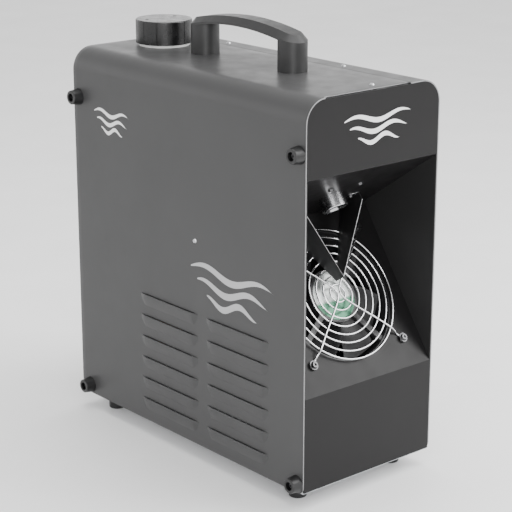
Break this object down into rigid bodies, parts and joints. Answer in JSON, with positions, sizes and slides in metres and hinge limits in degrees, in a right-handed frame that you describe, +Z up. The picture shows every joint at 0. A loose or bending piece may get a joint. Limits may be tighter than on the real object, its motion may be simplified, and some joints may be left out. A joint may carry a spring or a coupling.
{
  "type": "fog machine",
  "caption": "Upright metal-cased fog machine with a slanted front recess, fan behind a wire guard, nozzle, V-shaped deflector, top handle and screw-cap tank.",
  "frame": {"origin": "under the feet, in the middle of the whole machine's width and length", "axes": "+Z up; -Y out of the front recess where the fog leaves; +X to the right as seen from the front"},
  "size_m": [0.2224, 0.443, 0.535],
  "materials": {
    "cover_grey": "semi-gloss powder coat",
    "panel_black": "satin powder coat",
    "rear_black": "satin powder coat",
    "deflector_black": "satin paint with bare cut edges",
    "galvanised": "zinc plated sheet",
    "rubber_black": "matte moulded rubber",
    "screw_black": "black oxide",
    "screw_zinc": "zinc plated",
    "guard_chrome": "bright chrome wire",
    "fan_black": "moulded, satin",
    "label_silver": "printed foil disc, plain",
    "coil_copper": "enamelled winding",
    "polished_steel": "turned and polished",
    "cast_aluminium": "cast",
    "heater_steel": "plain",
    "insulation": "ceramic fibre",
    "brass_fitting": "machined",
    "tank_white": "natural translucent polyethylene",
    "seal_white": "foam seal",
    "cap_black": "moulded, semi-gloss",
    "gauze_steel": "fine wire",
    "hose_clear": "clear tube",
    "hose_black": "braided hose",
    "pump_plastic": "glass-filled nylon",
    "piston_steel": "ground",
    "board_green": "solder mask",
    "window_clear": "smoked acrylic",
    "button_grey": "moulded",
    "socket_black": "moulded",
    "rocker_black": "moulded",
    "pin_silver": "nickel plated",
    "fuse_glass": "glass tube, nickel ends",
    "handle_black": "fine-grained moulding"
  },
  "bodies": {
    "chassis": {"base_pan": "galvanised", "case_screws": "screw_zinc", "control_board": "board_green", "cover_left": "cover_grey", "cover_right": "cover_grey", "data_in": "socket_black", "data_out": "socket_black", "display_window": "window_clear", "fan_frame": "fan_black", "fan_guard": "guard_chrome", "fan_label": "label_silver", "fan_panel": "panel_black", "fan_stator": "coil_copper", "feet": "rubber_black", "filler_neck": "tank_white", "fluid_tank": "tank_white", "fog_deflector": "deflector_black", "guard_screws": "screw_black", "handle": "handle_black", "handle_screws": "screw_zinc", "heater_block": "cast_aluminium", "heater_brackets": "galvanised", "heater_cartridges": "heater_steel", "heater_inlet": "brass_fitting", "heater_jacket": "insulation", "heater_thermostats": "heater_steel", "mains_inlet": "socket_black", "nozzle": "polished_steel", "nozzle_panel": "panel_black", "nozzle_panel_screws": "screw_black", "power_board": "board_green", "pressure_hose": "hose_black", "pump_body": "pump_plastic", "pump_coil": "coil_copper", "pump_frame": "galvanised", "pump_spring": "gauze_steel", "rear_panel": "rear_black", "recess_cheeks": "panel_black", "remote_socket": "socket_black", "rubber_screws": "screw_zinc", "side_bumpers": "rubber_black", "socket_pins": "pin_silver", "suction_hose": "hose_clear", "switch_housing": "socket_black", "tank_filter": "gauze_steel", "tank_outlet": "brass_fitting", "tank_shelf": "galvanised", "tank_strap": "galvanised"},
    "cap_ring": {"cap_seal": "seal_white"},
    "cap": {"tank_cap": "cap_black"},
    "impeller": {"fan_impeller": "fan_black"},
    "piston": {"pump_piston": "piston_steel"},
    "rocker": {"power_rocker": "rocker_black"},
    "fuse_carrier": {"fuse_drawer": "socket_black", "fuse": "fuse_glass"},
    "latch": {"data_latch": "socket_black"},
    "key_1": {"button_1": "button_grey"},
    "key_2": {"button_2": "button_grey"},
    "key_3": {"button_3": "button_grey"},
    "key_4": {"button_4": "button_grey"}
  },
  "joints": [
    {"name": "cap_lift", "type": "slide", "parent": "chassis", "child": "cap_ring", "axis": [0, 0, 1], "range_m": [0, 0.06]},
    {"name": "cap_turn", "type": "hinge", "parent": "cap_ring", "child": "cap", "pos_m": [0.00475, 0.1619, 0.514], "axis": [0, 0, 1], "range_deg": [0, 540]},
    {"name": "fan_spin", "type": "hinge", "parent": "chassis", "child": "impeller", "pos_m": [0.00475, -0.14481, 0.21486], "axis": [0, -0.8271, 0.5621], "continuous": true},
    {"name": "piston_stroke", "type": "slide", "parent": "chassis", "child": "piston", "axis": [0, 0, 1], "range_m": [-0.004, 0], "stiffness_N_per_m": 1500, "deforming": ["pump_spring"]},
    {"name": "power_switch", "type": "hinge", "parent": "chassis", "child": "rocker", "pos_m": [-0.03725, 0.2145, 0.083], "axis": [0, 0, 1], "range_deg": [-14, 0]},
    {"name": "fuse_drawer_pull", "type": "slide", "parent": "chassis", "child": "fuse_carrier", "axis": [0, 1, 0], "range_m": [0, 0.024]},
    {"name": "latch_press", "type": "slide", "parent": "chassis", "child": "latch", "axis": [0, -1, 0], "range_m": [0, 0.0015], "stiffness_N_per_m": 800},
    {"name": "button_1_press", "type": "slide", "parent": "chassis", "child": "key_1", "axis": [0, -1, 0], "range_m": [0, 0.0008], "stiffness_N_per_m": 600},
    {"name": "button_2_press", "type": "slide", "parent": "chassis", "child": "key_2", "axis": [0, -1, 0], "range_m": [0, 0.0008], "stiffness_N_per_m": 600},
    {"name": "button_3_press", "type": "slide", "parent": "chassis", "child": "key_3", "axis": [0, -1, 0], "range_m": [0, 0.0008], "stiffness_N_per_m": 600},
    {"name": "button_4_press", "type": "slide", "parent": "chassis", "child": "key_4", "axis": [0, -1, 0], "range_m": [0, 0.0008], "stiffness_N_per_m": 600}
  ]
}
